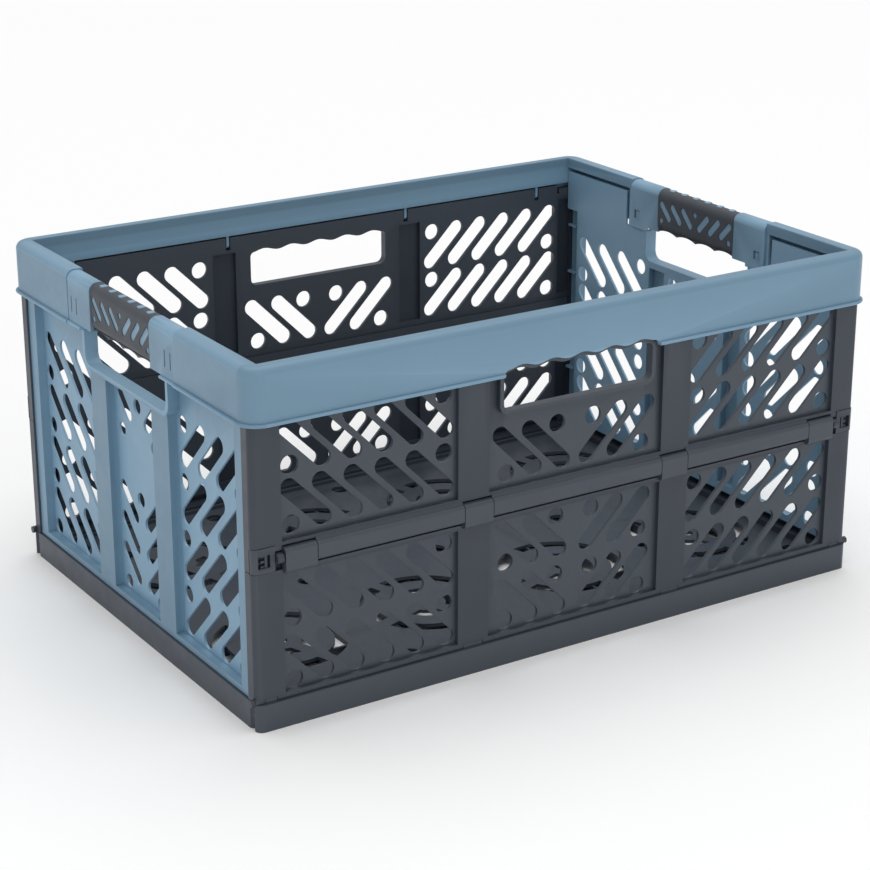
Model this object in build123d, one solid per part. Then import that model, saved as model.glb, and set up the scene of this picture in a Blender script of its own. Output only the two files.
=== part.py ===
from build123d import *
import math
import os

# Collapsible storage crate, shown opened out.  Millimetres, +Z up, +X along
# the long side, origin at the middle of the underside.
#
# The front and back walls are each two halves joined by a full-length hinge at
# mid height; they hang from the rim frame and stand on the base tray.  The two
# end walls hang from the short sides of the rim and swing inward and up.

# ---- overall sizes ---------------------------------------------------------
LENGTH = 480.0            # over the bead along the bottom of the rim
WIDTH = 345.0
HEIGHT = 232.0
SHEET = 2.2               # general moulded wall thickness

# ---- base tray -------------------------------------------------------------
BASE_X, BASE_Y = 235.5, 168.5        # half sizes over the skirt
BASE_SKIRT_H = 18.0
FLOOR_TOP = 8.4
FLOOR_T = 2.4
LEDGE_TOP = 13.0                     # raised ledge the long walls stand over
LEDGE_IN = 154.0                     # inner edge of that ledge, from the middle
LUG_R = 2.6
BASE_LUGS = ((72.0, 86.0), (221.0, 229.0))     # |x| ranges of the hinge lugs

# ---- hinge lines of the long walls (|y|, z) --------------------------------
HINGE_Y = 163.4
BASE_AXIS_Z = 19.0
MID_AXIS_Y, MID_AXIS_Z = 166.5, 111.0
RIM_AXIS_Z = 205.6
PIN_R = 1.2
PIN_FIT = 0.05

# ---- long walls ------------------------------------------------------------
FACE_Y = 166.0                       # outer face of posts and pilasters
RECESS = 3.0                         # depth of the slotted bays
WALL_X = 235.3
POST_R = 3.6                         # rounding of the outer corner of a post
RETURN_X, RETURN_Y = 234.0, 156.0    # edge of the post that covers the end wall
BAY_Y = FACE_Y - RECESS              # outer face of the bays
INNER_Y = BAY_Y - SHEET              # inner face of the bays
CENTRE_BAY = 67.5                    # half width of the middle bay
SIDE_BAY = (90.5, 215.0)             # |x| range of the side bays
SPLIT_OUT = 102.8                    # lower half ends here outside the hinge
SPLIT_IN = 118.0                     # and here behind the barrels
RAIL_Y = 169.8                       # outer face of the hinge rail
RAIL_Z = (104.6, 117.2)              # bottom and top of the hinge rail
WALL_TOP = 210.9
ROWS_LOW = (39.9, 80.4)              # slot rows, lower half
ROWS_HIGH = (141.0, 178.8)           # slot rows, upper half
SLOT_L, SLOT_W, SLOT_A = 44.6, 11.5, 45.0
HOLE_D = 12.2
SIDE_SLOTS = (109.6, 21.75, 5)       # first slot, pitch, count
CENTRE_SLOTS = (22.4, 44.4)
CENTRE_SLOT_L = 48.6                 # middle slots of the upper half are longer
SHORT_KNUCKLES = ((66.5, 87.5), (193.0, 214.6))
KNUCKLE_Z = 100.8                    # bottom of the short knuckles
HAND_HOLE = (115.0, 172.2, 198.0)    # width, bottom, top of the hand hole
HOLE_LIP = 2.8                       # raised lip round the hand hole
WAVE, WAVE_PITCH = 1.1, 23.0         # finger scallops
ARCH_SIDE, ARCH_UP = 2.9, 3.2        # margin of the arch in the rim round the hole
ARCH_GROOVE = 1.1                    # groove in the lip along that arch

# ---- rim frame -------------------------------------------------------------
RIM_X, RIM_Y = 238.0, 170.5          # half sizes over the skirt
RIM_BOTTOM = 196.0
BEAD_H = 2.2                         # bead along the bottom edge
RIM_R, TOP_R = 12.5, 5.0             # plan corner radius, top edge radius
OPEN_X, OPEN_Y = 226.0, 160.7        # half sizes of the clear opening
INNER_SKIRT_Z = 212.2
TONGUE_X = (75.6, 196.4)
TONGUE_T = 2.0
HANDLE_HALF = 77.6                   # half length of the gap for the handle

# ---- end walls -------------------------------------------------------------
END_FACE_X = 233.7
END_BAY_X = 227.8
END_IN_X = 226.2
END_Y = 160.2
END_BOTTOM = 18.4
END_COL = (56.4, 144.8)              # |y| range of the side columns
END_MID = 33.6
END_ROWS = (40.9, 79.0, 117.1, 155.2)
END_SLOTS = (77.2, 101.3, 125.4)
END_SLOT = (44.6, 11.4)              # length and width
MID_SLOT = (33.0, 9.8)
CUT_HALF, CUT_Z = 59.0, 173.0        # cut-out under the handle
EAR = (84.0, 160.0)                  # |y| range of the hinge ears
EAR_TOP = 221.4
EAR_AXIS_X, EAR_AXIS_Z = 229.0, 218.0
EAR_R = 2.8
EAR_PIN_R = 1.6

# ---- handles ---------------------------------------------------------------
SHELL_OUT, SHELL_IN = 237.7, 224.6
SHELL_Z = (197.0, 231.3)
SHELL_R = 5.6                        # rounding of the shell's upper edges
GRIP_HALF = 43.5
GRIP_OUT, GRIP_IN = 237.0, 224.2
GRIP_Z = (200.0, 230.8)
GRIP_T = 1.4


def bx(x0, x1, y0, y1, z0, z1):
    """Box between two corners, given in any order."""
    return Pos((x0 + x1) / 2, (y0 + y1) / 2, (z0 + z1) / 2) * Box(
        abs(x1 - x0), abs(y1 - y0), abs(z1 - z0))


def rod_x(x0, x1, y, z, r):
    return Pos((x0 + x1) / 2, y, z) * Rot(0, 90, 0) * Cylinder(r, abs(x1 - x0))


def rod_y(y0, y1, x, z, r):
    return Pos(x, (y0 + y1) / 2, z) * Rot(90, 0, 0) * Cylinder(r, abs(y1 - y0))


def total(shapes):
    """Fuse a list of shapes into one."""
    shapes = list(shapes)
    out = shapes[0]
    if len(shapes) > 1:
        out = out.fuse(*shapes[1:])
    return out


def xz_prism(sketch, y0, y1):
    """Extrude a sketch drawn in (x, z) between two y planes."""
    plane = Plane(origin=(0, max(y0, y1), 0), x_dir=(1, 0, 0), z_dir=(0, -1, 0))
    return extrude(plane * sketch, amount=abs(y1 - y0))


def yz_prism(sketch, x0, x1):
    """Extrude a sketch drawn in (y, z) between two x planes."""
    plane = Plane(origin=(min(x0, x1), 0, 0), x_dir=(0, 1, 0), z_dir=(1, 0, 0))
    return extrude(plane * sketch, amount=abs(x1 - x0))


def slot(u, v, angle, length, width):
    return Pos(u, v) * Rot(0, 0, angle) * SlotOverall(length, width)


def dot(u, v, d):
    return Pos(u, v) * Circle(d / 2)


def long_row(z, centre=True, sides=True, middle=SLOT_L):
    """One row of slots and corner holes across a long wall, as a sketch list."""
    out = []
    for s in (-1, 1):
        lean = SLOT_A * s                       # both sides lean to the middle
        if sides:
            first, pitch, n = SIDE_SLOTS
            out += [slot(s * (first + pitch * i), z, lean, SLOT_L, SLOT_W)
                    for i in range(n)]
            out.append(dot(s * (first - 10.4), z + 11.4, HOLE_D))
            out.append(dot(s * (first + pitch * (n - 1) + 10.6), z - 12.0, HOLE_D))
        if centre:
            up = (middle - SLOT_L) * 0.35
            out += [slot(s * x, z + up, lean, middle, SLOT_W) for x in CENTRE_SLOTS]
            out.append(dot(s * (CENTRE_SLOTS[0] - 8.4), z + 11.4 + 2 * up, HOLE_D))
            out.append(dot(s * (CENTRE_SLOTS[1] + 8.6), z - 11.8, HOLE_D))
    return out


def corner(u, v, r, a0, a1):
    """Points of a rounded corner about (u, v), from angle a0 to a1."""
    return [(u + r * math.cos(math.radians(a0 + (a1 - a0) * i / 6)),
             v + r * math.sin(math.radians(a0 + (a1 - a0) * i / 6))) for i in range(7)]


def finger_opening(half, z0, z1, low_r, high_r):
    """Opening with rounded corners and a gently scalloped top edge."""
    def wave(x):
        return z1 + WAVE * math.cos(2 * math.pi * x / WAVE_PITCH)
    end = half - high_r
    n = 48
    pts = corner(half - low_r, z0 + low_r, low_r, -90, 0)
    pts += corner(end, wave(end) - high_r, high_r, 0, 90)
    pts += [(end - 2 * end * i / n, wave(end - 2 * end * i / n)) for i in range(1, n)]
    pts += corner(-end, wave(end) - high_r, high_r, 90, 180)
    pts += corner(-half + low_r, z0 + low_r, low_r, 180, 270)
    return make_face(Polyline(*pts, close=True))


def arch(grow=0.0):
    """Scalloped arch round the hand hole, as cut in the skirt of the rim."""
    width, z0, z1 = HAND_HOLE
    return finger_opening(width / 2 + ARCH_SIDE + grow, z0, z1 + ARCH_UP + grow, 5.0, 4.5)


# ---------------------------------------------------------------------------
# base tray
# ---------------------------------------------------------------------------
def floor_pattern():
    """Openings of the floor, drawn in plan: rows of rosettes made of arcs."""
    out = []
    for x in (-168.0, -56.0, 56.0, 168.0):
        for y in (-74.0, 74.0):
            for r in (18.0, 40.0):
                ring = Circle(r + 4.5) - Circle(r - 4.5)
                for a in (20, 110):
                    ring = ring - Rot(0, 0, a) * Rectangle(120, 9.0)
                out.append(Pos(x, y) * ring)
            out.append(dot(x, y, 9.0))
    for x in (-224.0, -112.0, 0.0, 112.0, 224.0):
        for y in (-136.0, 0.0, 136.0):
            out.append(dot(x * 0.95, y, HOLE_D))
    return out


def make_base():
    tray = extrude(RectangleRounded(2 * BASE_X, 2 * BASE_Y, 5), amount=BASE_SKIRT_H)
    inside = extrude(Pos(0, 0, FLOOR_TOP) * RectangleRounded(
        2 * (BASE_X - SHEET), 2 * (BASE_Y - SHEET), 3), amount=20)
    under = extrude(RectangleRounded(2 * (BASE_X - 2.6), 2 * (BASE_Y - 2.6), 3),
                    amount=FLOOR_TOP - FLOOR_T)
    tray = tray - inside - under
    tray = tray - [extrude(s, amount=30) for s in floor_pattern()]
    add = []
    # ribs below the floor, down to the surface the crate stands on
    for x in [i * 46.0 + 11.5 for i in range(-5, 5)]:
        add.append(bx(x - 0.9, x + 0.9, -(BASE_Y - 2), BASE_Y - 2, 0, 6.4))
    for y in (-140, -100, -60, -20, 20, 60, 100, 140):
        add.append(bx(-(BASE_X - 2), BASE_X - 2, y - 0.9, y + 0.9, 0, 6.4))
    for s in (-1, 1):
        # ledge along each long side, and a low step along each short side
        add.append(bx(-233.4, 233.4, s * LEDGE_IN, s * 166.4, FLOOR_TOP - 2, LEDGE_TOP))
        add.append(bx(s * 223, s * 233.4, -LEDGE_IN, LEDGE_IN, FLOOR_TOP - 2, LEDGE_TOP))
        add.append(bx(-220, 220, s * 151.4, s * 153.6, FLOOR_TOP - 2, 11.0))
        for x0, x1 in BASE_LUGS:
            for t in (-1, 1):
                add.append(rod_x(t * x0, t * x1, s * HINGE_Y, BASE_AXIS_Z, LUG_R))
                add.append(bx(t * x0, t * x1, s * (HINGE_Y - LUG_R),
                              s * (HINGE_Y + LUG_R), LEDGE_TOP - 1, BASE_AXIS_Z))
    tray = tray.fuse(*add)
    cuts = []
    for s in (-1, 1):
        cuts.append(rod_x(-240, 240, s * HINGE_Y, BASE_AXIS_Z, PIN_R + 0.02))
        for t in (-1, 1):
            # finger groove in the end of the skirt, close to each corner
            cuts.append(Pos(t * (BASE_X + 1.0), s * 161.0, 0) * Cylinder(3.0, 60))
    tray = tray - cuts
    for s in (-1, 1):
        for t in (-1, 1):
            tray = tray.fuse(bx(t * 231.6, t * 233.6, s * 156, s * 166, 0, 16.0))
            tray = tray.fuse(rod_x(t * 233.4, t * 234.6, s * 161.0, 10.0, 1.2))
    return tray


# ---------------------------------------------------------------------------
# long walls (built as the front wall, at negative y)
# ---------------------------------------------------------------------------
def wall_sheet(z0, z1, rec0, rec1, bays):
    """Moulded sheet of even thickness: raised posts and pilasters, recessed bays."""
    body = bx(-WALL_X, WALL_X, -FACE_Y, -INNER_Y, z0, z1)
    outer = body.edges().filter_by(Axis.Z).filter_by(lambda e: e.center().Y < -163)
    body = fillet(outer, POST_R)
    cut = []
    for a, b in bays:
        cut.append(bx(a, b, -FACE_Y - 1, -BAY_Y, rec0, rec1))
    channels = [(-SIDE_BAY[0] + SHEET, -CENTRE_BAY - SHEET),
                (CENTRE_BAY + SHEET, SIDE_BAY[0] - SHEET),
                (-WALL_X + 6, -SIDE_BAY[1] - SHEET), (SIDE_BAY[1] + SHEET, WALL_X - 6)]
    for a, b in channels:
        cut.append(bx(a, b, -FACE_Y + SHEET, -INNER_Y + 1, rec0 + 2, rec1 - 2))
    return body - cut


def post_return(z0, z1):
    """Thin edge of each post that turns the corner over the end wall."""
    return [bx(s * RETURN_X, s * WALL_X, -INNER_Y - 1, -RETURN_Y, z0, z1)
            for s in (-1, 1)]


def rail(x0, x1, z0, inner=162.6):
    """Rounded bar of the mid hinge between two stations along the wall."""
    bar = Pos((-RAIL_Y - inner) / 2, (z0 + RAIL_Z[1]) / 2) * RectangleRounded(
        RAIL_Y - inner, RAIL_Z[1] - z0, 3.0)
    return yz_prism(bar, x0, x1)


BAYS = ((-SIDE_BAY[1], -SIDE_BAY[0]), (-CENTRE_BAY, CENTRE_BAY), SIDE_BAY)


def make_lower_wall():
    body = wall_sheet(BASE_AXIS_Z, SPLIT_OUT, 21.8, SPLIT_OUT - 3.2, BAYS)
    sk = []
    for z in ROWS_LOW:
        sk += long_row(z)
    body = body - [xz_prism(s, -170, -155) for s in sk]
    # rounded bottom rail that turns on the base hinge pin
    foot = rod_x(-WALL_X, WALL_X, -HINGE_Y, BASE_AXIS_Z, LUG_R)
    # thin lip that rises behind the rails of the mid hinge
    lip = bx(-WALL_X + 7, WALL_X - 7, -162.2, -INNER_Y, SPLIT_OUT - 3, SPLIT_IN)
    add = [foot, lip] + post_return(BASE_AXIS_Z, SPLIT_OUT)
    for a, b in SHORT_KNUCKLES:
        for s in (-1, 1):
            x0, x1 = s * a, s * b
            add.append(rail(x0, x1, KNUCKLE_Z))
            add.append(bx(x0, x1, -163.5, -INNER_Y, SPLIT_OUT - 4, SPLIT_IN - 3.5))
    body = body.fuse(*add)
    cut = [rod_x(-240, 240, -HINGE_Y, BASE_AXIS_Z, PIN_R + PIN_FIT),
           rod_x(-225, 225, -MID_AXIS_Y, MID_AXIS_Z, PIN_R + PIN_FIT)]
    for a, b in BASE_LUGS:
        for s in (-1, 1):
            cut.append(bx(s * (a - 0.4), s * (b + 0.4), -FACE_Y - 1, -INNER_Y + 1,
                          10, BASE_AXIS_Z))
            cut.append(rod_x(s * (a - 0.4), s * (b + 0.4), -HINGE_Y, BASE_AXIS_Z,
                             LUG_R + 0.4))
    for s in (-1, 1):
        cut.append(bx(s * (BASE_X - 4.2), s * 240, -170, -155, 10,
                      BASE_SKIRT_H + 0.4))
    return body - cut


def make_upper_wall():
    body = wall_sheet(SPLIT_IN + 0.4, WALL_TOP, SPLIT_IN + 2.6, 201.4, BAYS)
    width, z0, z1 = HAND_HOLE
    half = width / 2
    # raised lip round the hand hole
    ring = Pos(0, (z0 - HOLE_LIP + 206) / 2) * RectangleRounded(
        width + 2 * HOLE_LIP, 206 - z0 + HOLE_LIP, 7)
    body = body.fuse(xz_prism(ring, -FACE_Y - 0.8, -INNER_Y))
    sk = long_row(ROWS_HIGH[0], middle=CENTRE_SLOT_L)
    sk += long_row(ROWS_HIGH[1], centre=False)
    sk.append(finger_opening(half, z0, z1, 5.0, 3.5))
    # groove in the lip, just inside the arch of the rim
    groove = arch(0.2) - arch(0.2 - ARCH_GROOVE)
    groove = groove & Pos(0, 220) * Rectangle(300, 2 * (220 - RIM_BOTTOM + 1.5))
    body = body - [xz_prism(s, -170, -155) for s in sk] - xz_prism(groove, -170, -164.2)
    # rails of the mid hinge, carried on a sloping web below the bays
    add, cut = [], []
    a, b = SHORT_KNUCKLES[0][1] + 0.5, SHORT_KNUCKLES[1][0] - 0.5
    c = SHORT_KNUCKLES[0][0] - 0.5
    web = make_face(Polyline((-168.4, RAIL_Z[1] - 2.0), (-166.0, SPLIT_IN + 1.8),
                             (-162.6, SPLIT_IN + 1.8), (-162.6, MID_AXIS_Z + 2),
                             close=True))
    for x0, x1 in ((-b, -a), (-c, c), (a, b)):
        add.append(rail(x0, x1, RAIL_Z[0]))
        add.append(yz_prism(web, x0, x1))
    e = SHORT_KNUCKLES[1][1] + 0.5
    for s in (-1, 1):
        # corner clip: the post carried down past the pin, with a catch in it
        clip = bx(s * 220.3, s * WALL_X, -FACE_Y - 0.7, -162.6, SPLIT_OUT + 0.5,
                  SPLIT_IN + 1)
        edge = clip.edges().filter_by(Axis.Z).filter_by(
            lambda k: abs(k.center().X) > 230 and k.center().Y < -164)
        add.append(fillet(edge, POST_R))
        add.append(bx(s * e, s * 221, -FACE_Y, -162.6, MID_AXIS_Z + 4.6, SPLIT_IN + 2))
        add.append(bx(s * 229.4, s * (WALL_X - 1.2), -FACE_Y + 2, -INNER_Y,
                      SPLIT_OUT + 0.5, SPLIT_IN + 2))
        cut.append(bx(s * 223.6, s * 231.8, -FACE_Y - 4, -FACE_Y + 2.6, 106.4, 114.6))
    add += post_return(SPLIT_OUT + 0.5, RIM_BOTTOM - 1.0)
    body = body.fuse(*add) - cut
    catches = []
    for s in (-1, 1):
        catches.append(bx(s * 225.2, s * 227.0, -FACE_Y, -FACE_Y + 3, 106.2, 114.8))
        for z in (106.2, 109.6, 113.2):
            catches.append(bx(s * 226.8, s * 229.6, -FACE_Y + 0.4, -FACE_Y + 3, z, z + 1.6))
    body = body.fuse(*catches)
    cuts = [rod_x(-220, 220, -MID_AXIS_Y, MID_AXIS_Z, PIN_R + PIN_FIT)]
    for s in (-1, 1):
        for x in TONGUE_X:
            # notch for the tongue of the rim, and the bore of the hinge pin
            notch = TONGUE_T / 2 + 0.9
            cuts.append(bx(s * x - notch, s * x + notch, -170, -155, 201.6, 215))
            cuts.append(rod_x(s * x - 7.2, s * x + 7.2, -HINGE_Y, RIM_AXIS_Z,
                              PIN_R + PIN_FIT))
        # slit and lowered corner at each end of the top edge
        cuts.append(bx(s * 216.2, s * 218.0, -170, -155, 204.0, 215))
        cuts.append(bx(s * 217.0, s * 240, -170, -155, 208.0, 215))
    # the ends are rounded off where they stand inside the corners of the rim
    gap = SHEET + 0.5
    room = extrude(Pos(0, 0, RIM_BOTTOM - 0.6) * RectangleRounded(
        2 * (RIM_X - gap), 2 * (RIM_Y - gap), RIM_R - gap), amount=30)
    cuts.append(bx(-240, 240, -175, -150, RIM_BOTTOM - 0.6, 220) - room)
    return body - cuts


# ---------------------------------------------------------------------------
# rim frame
# ---------------------------------------------------------------------------
def make_rim():
    outer = extrude(Pos(0, 0, RIM_BOTTOM) * RectangleRounded(
        2 * RIM_X, 2 * RIM_Y, RIM_R), amount=HEIGHT - RIM_BOTTOM)
    outer = fillet(outer.faces().sort_by(Axis.Z)[-1].edges(), TOP_R)
    t = SHEET
    hollow = extrude(Pos(0, 0, RIM_BOTTOM) * RectangleRounded(
        2 * (RIM_X - t), 2 * (RIM_Y - t), RIM_R - t), amount=HEIGHT - 2.4 - RIM_BOTTOM)
    hollow = fillet(hollow.faces().sort_by(Axis.Z)[-1].edges(), TOP_R - t)
    keep = []
    for s in (-1, 1):
        keep.append(bx(-240, 240, s * OPEN_Y, s * (OPEN_Y + t), INNER_SKIRT_Z, HEIGHT))
        keep.append(bx(s * OPEN_X, s * (OPEN_X + t), -OPEN_Y, OPEN_Y, 224.4, HEIGHT))
    rim = outer - (hollow - keep)
    rim = rim - bx(-OPEN_X, OPEN_X, -OPEN_Y, OPEN_Y, 190, 240)
    lip = rim.edges().filter_by(lambda e: e.center().Z > HEIGHT - 0.1
                                and abs(e.center().X) < OPEN_X + 0.1
                                and abs(e.center().Y) < OPEN_Y + 0.1)
    rim = fillet(lip, 0.9)
    # bead along the bottom edge
    bead = extrude(Pos(0, 0, RIM_BOTTOM) * RectangleRounded(LENGTH, WIDTH, RIM_R + 2),
                   amount=BEAD_H)
    bead = fillet(bead.edges().filter_by(lambda e: e.is_closed or abs(
        e.center().Z - RIM_BOTTOM) < 0.01 or abs(
        e.center().Z - RIM_BOTTOM - BEAD_H) < 0.01), 1.0)
    bead = bead - extrude(Pos(0, 0, 190) * RectangleRounded(
        2 * RIM_X - 2, 2 * RIM_Y - 2, RIM_R - 1), amount=20)
    rim = rim.fuse(bead)
    cut, add = [], []
    for s in (-1, 1):
        cut.append(xz_prism(arch(), s * 166, s * 176))
        # gap in the short side for the handle
        cut.append(bx(s * 220, s * 245, -HANDLE_HALF, HANDLE_HALF, 190, 240))
    rim = rim - cut
    for s in (-1, 1):
        for x in TONGUE_X:
            for r in (-1, 1):
                x0, x1 = r * x - TONGUE_T / 2, r * x + TONGUE_T / 2
                add.append(rod_x(x0, x1, s * HINGE_Y, RIM_AXIS_Z, 2.4))
                add.append(bx(x0, x1, s * (HINGE_Y - 2.4), s * (HINGE_Y + 2.4),
                              RIM_AXIS_Z, 230.5))
        # cheeks at the ends of the handle gap and the bar between them
        for r in (-1, 1):
            add.append(bx(s * 226.2, s * 236.2, r * HANDLE_HALF, r * (HANDLE_HALF + 3),
                          RIM_BOTTOM, 230))
        add.append(bx(s * 227.4, s * 233.0, -HANDLE_HALF - 1, HANDLE_HALF + 1, 206, 226.5))
    rim = rim.fuse(*add)
    bores = []
    for s in (-1, 1):
        bores += [rod_x(r * x - 4, r * x + 4, s * HINGE_Y, RIM_AXIS_Z, PIN_R + 0.02)
                  for x in TONGUE_X for r in (-1, 1)]
        bores += [rod_y(r * 75.0, r * 163.2, s * EAR_AXIS_X, EAR_AXIS_Z,
                        EAR_PIN_R + 0.02) for r in (-1, 1)]
    return rim - bores


# ---------------------------------------------------------------------------
# end walls (built as the left wall, at negative x)
# ---------------------------------------------------------------------------
def end_pattern():
    sk = []
    for s in (-1, 1):
        lean = SLOT_A * s                       # tops lean away from the middle
        for z in END_ROWS:
            sk += [slot(s * y, z, lean, *END_SLOT) for y in END_SLOTS]
            sk.append(dot(s * 64.8, z + 11.0, 11.6))
            sk.append(dot(s * 138.0, z - 12.4, 11.6))
        for i in range(3):
            sk.append(slot(s * 18.0, 43.4 + 22.0 * i, lean, *MID_SLOT))
        sk.append(slot(s * 19.8, 155.0, lean, 27.0, MID_SLOT[1]))
        sk.append(dot(s * 23.6, 28.6, 9.6))
        sk.append(dot(s * 23.6, 136.4, 9.6))
    sk.append(dot(0, 94.0, 10.4))
    sk.append(dot(0, 158.4, 10.4))
    return sk


def make_end_wall():
    top = 195.4
    body = bx(-END_FACE_X, -END_IN_X, -END_Y, END_Y, END_BOTTOM, top)
    cut = []
    for y0, y1 in ((-END_COL[1], -END_COL[0]), (-END_MID, END_MID), END_COL):
        ztop = 171.0 if y0 < 0 < y1 else 199.0
        cut.append(bx(-END_FACE_X - 1, -END_BAY_X, y0, y1, 22.5, ztop))
    for s in (-1, 1):
        # inner channels behind the pilasters and along the edges
        cut.append(bx(-END_FACE_X + SHEET, -END_IN_X + 1, s * (END_MID + SHEET),
                      s * (END_COL[0] - SHEET), 24, 168))
        cut.append(bx(-END_FACE_X + SHEET, -END_IN_X + 1, s * (END_COL[1] + SHEET),
                      s * (END_Y + 1), 22.5, 193))
    body = body - cut
    add = []
    for s in (-1, 1):
        for z in (60, 100, 140, 178):
            add.append(bx(-END_FACE_X + 1, -END_IN_X - 1.2, s * 150, s * END_Y,
                          z - 0.8, z + 0.8))
        # ear that reaches up inside the rim, with the tube for the hinge pin
        add.append(bx(-END_BAY_X, -END_IN_X, s * EAR[0], s * EAR[1], top - 4, EAR_TOP))
        add.append(rod_y(s * EAR[0], s * EAR[1], -EAR_AXIS_X, EAR_AXIS_Z, EAR_R))
        add.append(bx(-EAR_AXIS_X - 2.0, -END_IN_X, s * (EAR[0] + 6), s * (EAR[0] + 8),
                      top - 4, EAR_AXIS_Z))
    # flange round the cut-out under the handle
    ring = Pos(0, CUT_Z - 3.2 + 20) * RectangleRounded(2 * CUT_HALF + 6.4, 40, 9)
    add.append(yz_prism(ring, -END_FACE_X - 2.0, -END_IN_X))
    body = body.fuse(*add)
    opening = Pos(0, CUT_Z + 20) * RectangleRounded(2 * CUT_HALF, 40, 7)
    cuts = [yz_prism(opening, -240, -220), bx(-240, -220, -EAR[0] + 0.4, EAR[0] - 0.4, top, 240)]
    cuts += [yz_prism(s, -232, -220) for s in end_pattern()]
    cuts += [rod_y(s * 84, s * 162, -EAR_AXIS_X, EAR_AXIS_Z, EAR_PIN_R + PIN_FIT)
             for s in (-1, 1)]
    return body - cuts


# ---------------------------------------------------------------------------
# handles (built at negative x)
# ---------------------------------------------------------------------------
def grip_pattern(grow=0.0):
    """Openings of the grip on one face, drawn in (y, z)."""
    sk = []
    for s in (-1, 1):
        for i in range(3):
            sk.append(slot(s * (9.4 + 12.6 * i), 216.0, 47.0 * s,
                           17.5 + grow, 5.0 + grow))
        sk.append(dot(s * 39.0, 208.4, 4.2 + grow))
    sk.append(dot(0, 220.6, 4.2 + grow))
    return sk


def grip_studs(grow=0.0):
    """Row of oval studs along the top of the grip, drawn in plan."""
    x = -(GRIP_OUT + GRIP_IN) / 2 - 0.4
    return [Pos(x, -34.0 + 13.6 * i) * RectangleRounded(4.8 + grow, 5.4 + grow, 1.8)
            for i in range(6)]


def handle_section(x0, x1, z0, z1, y0, y1, r):
    body = bx(x0, x1, y0, y1, z0, z1)
    return fillet(body.edges().filter_by(Axis.Y), r)


def make_shell():
    out = []
    low = RIM_BOTTOM + 0.2
    for s in (-1, 1):
        end = handle_section(-SHELL_OUT, -SHELL_IN, low - 8, SHELL_Z[1],
                             s * GRIP_HALF, s * (HANDLE_HALF - 0.4), SHELL_R)
        end = end - bx(-240, -220, -90, 90, 180, low)
        end = end - bx(-240, -220, s * 40, s * 58.0, 180, SHELL_Z[0] + 1.6)
        # bead that carries on the one along the rim
        bead = bx(-SHELL_OUT - 1.6, -SHELL_OUT + 1, s * 58.0, s * (HANDLE_HALF - 0.4),
                  low, low + BEAD_H - 0.2)
        end = end.fuse(fillet(bead.edges().filter_by(Axis.Y), 0.8))
        out.append(end)
    core = handle_section(-GRIP_OUT + GRIP_T, -GRIP_IN - GRIP_T, GRIP_Z[0] + GRIP_T,
                          GRIP_Z[1] - GRIP_T, -GRIP_HALF - 0.1, GRIP_HALF + 0.1, 4.4)
    # raised pads and studs that stand in the openings of the grip
    pads = [yz_prism(p, -GRIP_OUT + 0.5, -GRIP_IN - 0.5) for p in grip_pattern()]
    for stud in grip_studs():
        pads.append(extrude(Pos(0, 0, GRIP_Z[1] - 4.0) * stud, amount=4.3))
    body = total(out + [core] + pads)
    cut = [bx(-233.4, -227.0, -90, 90, 180, 227.0)]
    for s in (-1, 1):
        # snap windows and the moulded slits near the ends
        cut.append(bx(-228, -220, s * 66.3, s * 72.3, 203.6, 209.8))
        for y in (64.4, 72.0):
            cut.append(bx(-240, -236.9, s * (y - 0.6), s * (y + 0.6), 205, 216))
    body = body - cut
    tabs = [bx(-227.0, -225.4, s * 67.6, s * 71.0, 203.0, 209.0) for s in (-1, 1)]
    return body.fuse(*tabs)


def make_grip():
    body = handle_section(-GRIP_OUT, -GRIP_IN, GRIP_Z[0], GRIP_Z[1],
                          -GRIP_HALF + 0.2, GRIP_HALF - 0.2, 5.6)
    bore = handle_section(-GRIP_OUT + GRIP_T, -GRIP_IN - GRIP_T, GRIP_Z[0] + GRIP_T,
                          GRIP_Z[1] - GRIP_T, -60, 60, 4.4)
    # thicker underside for the fingers, with the scallops along it
    body = body.fuse(bx(-GRIP_OUT + 1.6, -GRIP_IN - 1.6, -GRIP_HALF + 0.2,
                        GRIP_HALF - 0.2, GRIP_Z[0] - 1.2, GRIP_Z[0] + 1.0))
    cut = [bore] + [yz_prism(p, -245, -215) for p in grip_pattern(0.1)]
    cut += [extrude(Pos(0, 0, GRIP_Z[1] - 6) * p, amount=12) for p in grip_studs(0.1)]
    for i in range(4):
        cut.append(Pos(0, -33.0 + 22.0 * i, GRIP_Z[0] - 29.2)
                   * Rot(0, 90, 0) * Cylinder(30.0, 500))
    return body - cut


# ---------------------------------------------------------------------------
# hinge pins
# ---------------------------------------------------------------------------
def base_pin(s):
    rod = rod_x(-236, 236, s * HINGE_Y, BASE_AXIS_Z, PIN_R)
    return rod.fuse(*[rod_x(t * 235.6, t * 238.2, s * HINGE_Y, BASE_AXIS_Z, 2.4)
                      for t in (-1, 1)])


def mid_pin(s):
    rod = rod_x(-219.8, 219.8, s * MID_AXIS_Y, MID_AXIS_Z, PIN_R)
    return rod.fuse(*[rod_x(t * 215.6, t * 219.8, s * MID_AXIS_Y, MID_AXIS_Z, 3.4)
                      for t in (-1, 1)])


def rim_pins(s):
    return [rod_x(r * x - 6.8, r * x + 6.8, s * HINGE_Y, RIM_AXIS_Z, PIN_R)
            for x in TONGUE_X for r in (-1, 1)]


def ear_pins(s):
    return [rod_y(r * 76.0, r * 162.8, s * EAR_AXIS_X, EAR_AXIS_Z, EAR_PIN_R)
            for r in (-1, 1)]


def save(name, shape):
    solids = shape if isinstance(shape, list) else shape.solids()
    part = Compound(children=[Solid(s.wrapped) if not isinstance(s, Solid) else s
                              for s in solids]) if len(solids) > 1 else solids[0]
    part.label = name
    export_step(part, f"parts/{name}.step")


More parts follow.
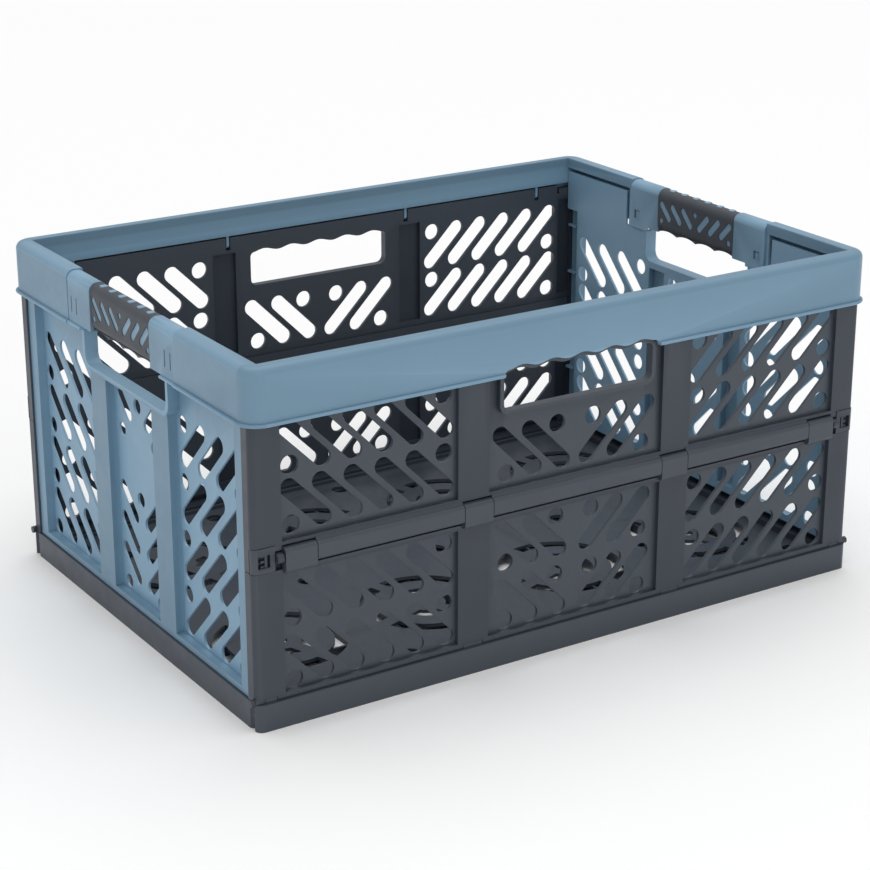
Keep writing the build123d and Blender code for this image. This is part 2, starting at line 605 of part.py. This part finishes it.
os.makedirs("parts", exist_ok=True)
TURN = Rot(0, 0, 180)
lower, upper = make_lower_wall(), make_upper_wall()
end_wall, shell, grip = make_end_wall(), make_shell(), make_grip()

save("base_tray", make_base())
save("rim_frame", make_rim())
save("front_lower_wall", lower)
save("front_upper_wall", upper)
save("back_lower_wall", TURN * lower)
save("back_upper_wall", TURN * upper)
save("left_end_wall", end_wall)
save("right_end_wall", TURN * end_wall)
save("left_handle_shell", shell)
save("right_handle_shell", TURN * shell)
save("left_grip", grip)
save("right_grip", TURN * grip)
for side, s in (("front", -1), ("back", 1)):
    save(f"base_pin_{side}", base_pin(s))
    save(f"mid_pin_{side}", mid_pin(s))
    save(f"rim_pins_{side}", [p.solids()[0] for p in rim_pins(s)])
for side, s in (("left", -1), ("right", 1)):
    save(f"end_pins_{side}", [p.solids()[0] for p in ear_pins(s)])
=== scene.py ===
import math

import bmesh
import bpy
from mathutils import Matrix, Vector


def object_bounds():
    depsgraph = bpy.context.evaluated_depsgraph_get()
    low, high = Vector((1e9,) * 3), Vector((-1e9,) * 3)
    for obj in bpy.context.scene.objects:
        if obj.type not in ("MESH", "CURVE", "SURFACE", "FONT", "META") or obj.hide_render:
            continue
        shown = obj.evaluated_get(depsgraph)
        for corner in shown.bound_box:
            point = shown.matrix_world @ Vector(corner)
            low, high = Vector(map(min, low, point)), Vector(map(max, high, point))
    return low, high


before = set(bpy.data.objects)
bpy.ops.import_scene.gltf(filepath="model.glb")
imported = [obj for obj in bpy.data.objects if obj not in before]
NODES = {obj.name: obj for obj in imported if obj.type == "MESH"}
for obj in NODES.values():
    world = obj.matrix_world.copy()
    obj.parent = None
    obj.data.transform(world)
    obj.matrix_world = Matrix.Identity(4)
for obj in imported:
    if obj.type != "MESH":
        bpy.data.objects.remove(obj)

CAD_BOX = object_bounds()
LOW, HIGH = Vector(CAD_BOX[0]), Vector(CAD_BOX[1])
CENTRE = (LOW + HIGH) / 2
MM = 0.001

# moulded edges of every CAD piece, and how evenly its flat faces shade
EDGE_WIDTH, EDGE_SEGMENTS, EDGE_ANGLE = 0.45 * MM, 2, math.radians(32)
EVEN_WEIGHT = 100

# noise layers of the plastic: scale, detail, roughness
FLOW = (14.0, 3.0, 0.55)                  # faint clouds of colour
PATCHES = (55.0, 4.0, 0.55)               # smoother and duller patches
GRAIN = (2600.0, 2.0, 0.6)                # spark-eroded grain
WAVES = (22.0, 2.0, 0.55)                 # slow waves of the moulded sheet
FLOW_AMOUNT = 0.06
GRAIN_DEPTH = 0.12 * MM
WAVE_STRENGTH, WAVE_DEPTH = 0.10, 0.8 * MM
NOISE_BAND = (0.35, 0.65)                 # the part of a noise layer that is used
EDGE_HIGHLIGHT_BAND = (0.52, 0.60)                 # pointiness from plain face to convex edge, over which the painted highlight grows
HIGHLIGHT_GAIN, HIGHLIGHT_LIFT = 1.7, 0.03          # colour of the painted highlight on a convex edge against its face
SMOOTHER, DULLER = 0.05, 0.06             # spread of the roughness
SHEEN_ROUGHNESS = 0.5

# stage and lights
FLOOR_HALF, FLOOR_ALBEDO, FLOOR_ROUGHNESS = 6.0, 0.97, 0.9
WORLD_COLOUR, WORLD_STRENGTH = (1, 1, 1, 1), 0.56
SKY_STRENGTH, SKY_ANGLE = 1.45, math.radians(70)
SKY_TILT = (math.radians(-6), math.radians(6), 0)
KEY_PLACE, KEY_SIZE, KEY_POWER = Vector((-0.4, -2.4, 1.0)), (1.2, 0.9), 6

# camera: bearing from the front of the crate, elevation, place and lens
AZ, EL = math.radians(-32.68), math.radians(20.08)
CAMERA_PLACE = (-0.8122, -1.2643, 0.6436)
CAMERA_SENSOR, CAMERA_LENS = 36.0, 94.6


# ---------------------------------------------------------------------------
# materials
# ---------------------------------------------------------------------------
def noise(nt, coords, layer):
    n = nt.nodes.new("ShaderNodeTexNoise")
    for socket, value in zip(("Scale", "Detail", "Roughness"), layer):
        n.inputs[socket].default_value = value
    nt.links.new(coords.outputs["Object"], n.inputs["Vector"])
    return n.outputs["Fac"]


def remap(nt, source, band, low, high):
    """Spread the band of the source over low to high."""
    r = nt.nodes.new("ShaderNodeMapRange")
    r.inputs["From Min"].default_value, r.inputs["From Max"].default_value = band
    r.inputs["To Min"].default_value = low
    r.inputs["To Max"].default_value = high
    nt.links.new(source, r.inputs["Value"])
    return r.outputs["Result"]


def mix(nt, factor, colour):
    """A colour mix towards `colour`; its input A is left to the caller."""
    m = nt.nodes.new("ShaderNodeMix")
    m.data_type = "RGBA"
    m.inputs["B"].default_value = (*colour, 1)
    nt.links.new(factor, m.inputs["Factor"])
    return m


def bump(nt, height, strength, distance):
    b = nt.nodes.new("ShaderNodeBump")
    b.inputs["Strength"].default_value = strength
    b.inputs["Distance"].default_value = distance
    nt.links.new(height, b.inputs["Height"])
    return b


def colour_and_painted_highlight(nt, coords, colour, edge):
    """The plastic's colour: flow clouds, and a painted highlight where the surface turns to
    a convex edge.
    """
    dark = tuple(c * (1 - FLOW_AMOUNT) for c in colour)
    light = tuple(min(1.0, c * (1 + FLOW_AMOUNT)) for c in colour)
    highlight_colour = tuple(min(1.0, c * HIGHLIGHT_GAIN + HIGHLIGHT_LIFT) for c in colour)
    clouds = mix(nt, noise(nt, coords, FLOW), light)
    clouds.inputs["A"].default_value = (*dark, 1)
    # painted highlight: convex edges, found by pointiness, are coloured lighter than their
    # face
    geometry = nt.nodes.new("ShaderNodeNewGeometry")
    highlight_mask = remap(nt, geometry.outputs["Pointiness"], EDGE_HIGHLIGHT_BAND, 0.0, edge)
    edges = mix(nt, highlight_mask, highlight_colour)
    nt.links.new(clouds.outputs["Result"], edges.inputs["A"])
    return edges.outputs["Result"]


def relief(nt, coords, grain):
    """The plastic's fine relief: grain under slow waves."""
    fine = bump(nt, noise(nt, coords, GRAIN), grain, GRAIN_DEPTH)
    waves = bump(nt, noise(nt, coords, WAVES), WAVE_STRENGTH, WAVE_DEPTH)
    nt.links.new(fine.outputs["Normal"], waves.inputs["Normal"])
    return waves.outputs["Normal"]


def plastic(name, colour, rough, grain=0.05, spec=0.5, edge=0.25, sheen=0.0):
    """Moulded plastic with a fine grain, faint flow clouds and a painted highlight along
    each convex edge.
    """
    mat = bpy.data.materials.new(name)
    mat.use_nodes = True
    nt = mat.node_tree
    nt.nodes.clear()
    out = nt.nodes.new("ShaderNodeOutputMaterial")
    bsdf = nt.nodes.new("ShaderNodeBsdfPrincipled")
    nt.links.new(bsdf.outputs["BSDF"], out.inputs["Surface"])
    coords = nt.nodes.new("ShaderNodeTexCoord")
    nt.links.new(colour_and_painted_highlight(nt, coords, colour, edge), bsdf.inputs["Base Color"])
    patches = noise(nt, coords, PATCHES)
    dulled = remap(nt, patches, NOISE_BAND, rough - SMOOTHER, rough + DULLER)
    nt.links.new(dulled, bsdf.inputs["Roughness"])
    bsdf.inputs["Specular IOR Level"].default_value = spec
    if sheen:
        bsdf.inputs["Sheen Weight"].default_value = sheen
        bsdf.inputs["Sheen Roughness"].default_value = SHEEN_ROUGHNESS
    nt.links.new(relief(nt, coords, grain), bsdf.inputs["Normal"])
    return mat


# edge sets how strong the painted highlight along convex edges is
GRAPHITE = plastic("graphite_pp", (0.036, 0.046, 0.062), 0.42, spec=0.42, edge=0.35)
BLUE = plastic("blue_pp", (0.155, 0.270, 0.372), 0.40, spec=0.45, edge=0.5)
GRIP = plastic("soft_grip", (0.046, 0.052, 0.064), 0.58, grain=0.14, sheen=0.05, spec=0.3)
PIN = plastic("pin_plastic", (0.030, 0.036, 0.046), 0.38, spec=0.4)

FINISH = {
    "base_tray": GRAPHITE, "front_lower_wall": GRAPHITE, "front_upper_wall": GRAPHITE,
    "back_lower_wall": GRAPHITE, "back_upper_wall": GRAPHITE,
    "rim_frame": BLUE, "left_end_wall": BLUE, "right_end_wall": BLUE,
    "left_handle_shell": BLUE, "right_handle_shell": BLUE,
    "left_grip": GRIP, "right_grip": GRIP,
}


def finish_piece(obj, material):
    """Give a CAD piece its plastic, softly rounded edges and even shading."""
    obj.data.materials.clear()
    obj.data.materials.append(material)
    rounded = obj.modifiers.new("moulded edge", "BEVEL")
    rounded.width = EDGE_WIDTH
    rounded.segments = EDGE_SEGMENTS
    rounded.limit_method = "ANGLE"
    rounded.angle_limit = EDGE_ANGLE
    rounded.harden_normals = False
    rounded.use_clamp_overlap = True
    even = obj.modifiers.new("even shading", "WEIGHTED_NORMAL")
    even.mode = "FACE_AREA"
    even.weight = EVEN_WEIGHT
    even.keep_sharp = False


for node_name, node in NODES.items():
    finish_piece(node, FINISH.get(node_name, PIN))


# ---------------------------------------------------------------------------
# stage, lights and camera
# ---------------------------------------------------------------------------
def put(name, data):
    """Put a mesh, light or camera into the scene."""
    ob = bpy.data.objects.new(name, data)
    bpy.context.scene.collection.objects.link(ob)
    return ob


def make_floor():
    mesh = bpy.data.meshes.new("floor")
    bm = bmesh.new()
    bmesh.ops.create_grid(bm, x_segments=2, y_segments=2, size=FLOOR_HALF)
    bm.to_mesh(mesh)
    bm.free()
    mat = bpy.data.materials.new("floor")
    mat.use_nodes = True
    bsdf = mat.node_tree.nodes["Principled BSDF"]
    bsdf.inputs["Base Color"].default_value = (*[FLOOR_ALBEDO] * 3, 1)
    bsdf.inputs["Roughness"].default_value = FLOOR_ROUGHNESS
    mesh.materials.append(mat)
    ob = put("floor", mesh)
    ob.location = (0, 0, LOW.z)


def make_key():
    """A soft light in front of the crate, aimed at its middle."""
    light = bpy.data.lights.new("key", "AREA")
    light.shape = "RECTANGLE"
    light.size, light.size_y = KEY_SIZE
    light.energy = KEY_POWER
    key = put("key", light)
    key.location = KEY_PLACE
    key.rotation_euler = (CENTRE - KEY_PLACE).to_track_quat("-Z", "Y").to_euler()


def make_sky():
    """A broad light from above, even over the whole floor."""
    light = bpy.data.lights.new("sky", "SUN")
    light.energy = SKY_STRENGTH
    light.angle = SKY_ANGLE
    put("sky", light).rotation_euler = SKY_TILT


def make_world():
    world = bpy.data.worlds.new("studio")
    world.use_nodes = True
    background = world.node_tree.nodes["Background"]
    background.inputs["Color"].default_value = WORLD_COLOUR
    background.inputs["Strength"].default_value = WORLD_STRENGTH
    bpy.context.scene.world = world


def make_camera():
    lens = bpy.data.cameras.new("camera")
    lens.sensor_width = CAMERA_SENSOR
    lens.lens = CAMERA_LENS
    back = Vector((math.sin(AZ) * math.cos(EL), -math.cos(AZ) * math.cos(EL), math.sin(EL)))
    right = Vector((math.cos(AZ), math.sin(AZ), 0))
    up = back.cross(right)
    x, y, z = CAMERA_PLACE
    camera = put("camera", lens)
    camera.matrix_world = Matrix((
        (right.x, up.x, back.x, x),
        (right.y, up.y, back.y, y),
        (right.z, up.z, back.z, z),
        (0, 0, 0, 1)))
    bpy.context.scene.camera = camera


make_floor()
make_key()
make_sky()
make_world()
bpy.context.scene.view_settings.view_transform = "Standard"
make_camera()
